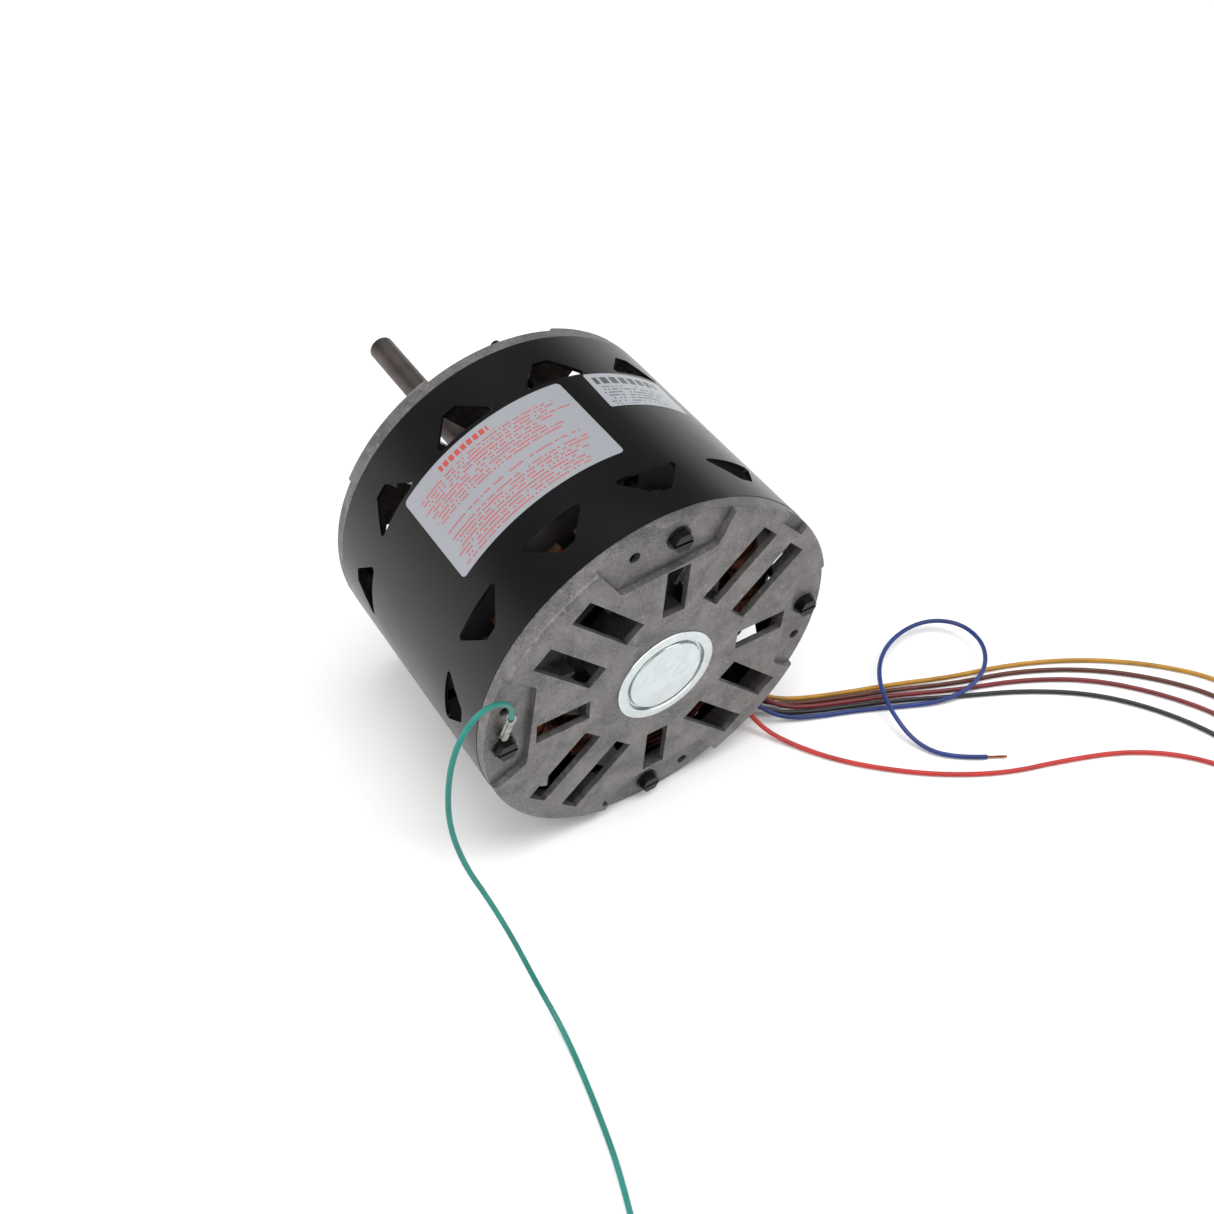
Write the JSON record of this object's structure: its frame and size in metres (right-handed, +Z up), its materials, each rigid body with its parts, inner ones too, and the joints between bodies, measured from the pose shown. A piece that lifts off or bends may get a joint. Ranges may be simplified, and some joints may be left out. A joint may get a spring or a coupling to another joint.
{
  "type": "direct drive blower motor",
  "caption": "Ventilated blower motor for a heating appliance: vented steel shell, two cast end shields with slots, capped bearing, long plain shaft and loose leads.",
  "frame": {"origin": "on the shaft axis at the middle of the shell, within 0.3 mm of the centre of its volume without the leads", "axes": "+Y along the shaft to its free end, +Z up as it lies, +X right seen from the capped end"},
  "size_m": [0.4233, 0.4312, 0.1651],
  "materials": {
    "shell_enamel": "satin black enamel on rolled steel",
    "cast_aluminium": "as-cast and tumbled",
    "galvanised_steel": "bright zinc",
    "black_oxide_steel": "black oxide",
    "zinc_steel": "clear blue zinc plate",
    "ground_steel": "ground",
    "lamination_steel": "blued stamped laminations",
    "rotor_aluminium": "die cast",
    "enamelled_copper": "enamelled magnet wire, varnished",
    "slot_paper": "polyester film",
    "lacing_cord": "varnished polyester cord",
    "sintered_bronze": "porous bronze",
    "oil_felt": "wool felt",
    "spring_steel": "blued spring steel",
    "thrust_fibre": "laminated phenolic",
    "slinger_rubber": "moulded rubber",
    "grommet_rubber": "moulded rubber",
    "cutout_case": "moulded phenolic",
    "label_film": "printed polyester film",
    "rating_film": "printed polyester film",
    "harness_sleeve": "braided sleeve",
    "tinned_copper": "tin plate",
    "bare_copper": "stranded copper",
    "pvc_yellow": "extruded lead insulation",
    "pvc_brown": "extruded lead insulation",
    "pvc_maroon": "extruded lead insulation",
    "pvc_black": "extruded lead insulation",
    "pvc_blue": "extruded lead insulation",
    "pvc_red": "extruded lead insulation",
    "pvc_green": "extruded lead insulation"
  },
  "bodies": {
    "motor_frame": {"bolt_nuts": "zinc_steel", "front_bearing": "sintered_bronze", "front_bearing_cap": "galvanised_steel", "front_bearing_clip": "spring_steel", "front_end_shield": "cast_aluminium", "front_oil_felt": "oil_felt", "ground_lead": "pvc_green", "ground_terminal": "tinned_copper", "lead_black": "pvc_black", "lead_blue": "pvc_blue", "lead_brown": "pvc_brown", "lead_grommet": "grommet_rubber", "lead_harness": "harness_sleeve", "lead_maroon": "pvc_maroon", "lead_red": "pvc_red", "lead_yellow": "pvc_yellow", "lock_washers": "zinc_steel", "rating_label": "rating_film", "rear_bearing": "sintered_bronze", "rear_bearing_clip": "spring_steel", "rear_bearing_cover": "galvanised_steel", "rear_end_shield": "cast_aluminium", "rear_oil_felt": "oil_felt", "shell": "shell_enamel", "slot_liners": "slot_paper", "stator_core": "lamination_steel", "stator_winding": "enamelled_copper", "stripped_ends": "bare_copper", "thermal_protector": "cutout_case", "through_bolts": "black_oxide_steel", "warning_label": "label_film", "winding_lacing": "lacing_cord"},
    "rotor": {"shaft": "ground_steel", "rotor_core": "lamination_steel", "rotor_end_ring_front": "rotor_aluminium", "rotor_end_ring_rear": "rotor_aluminium", "front_thrust_washers": "thrust_fibre", "rear_thrust_washers": "thrust_fibre", "shaft_collars": "ground_steel", "oil_slinger": "slinger_rubber", "shaft_retaining_ring": "spring_steel"}
  },
  "joints": [
    {"name": "rotor_spin", "type": "hinge", "parent": "motor_frame", "child": "rotor", "pos_m": [0, 0, 0], "axis": [0, 1, 0], "continuous": true}
  ]
}
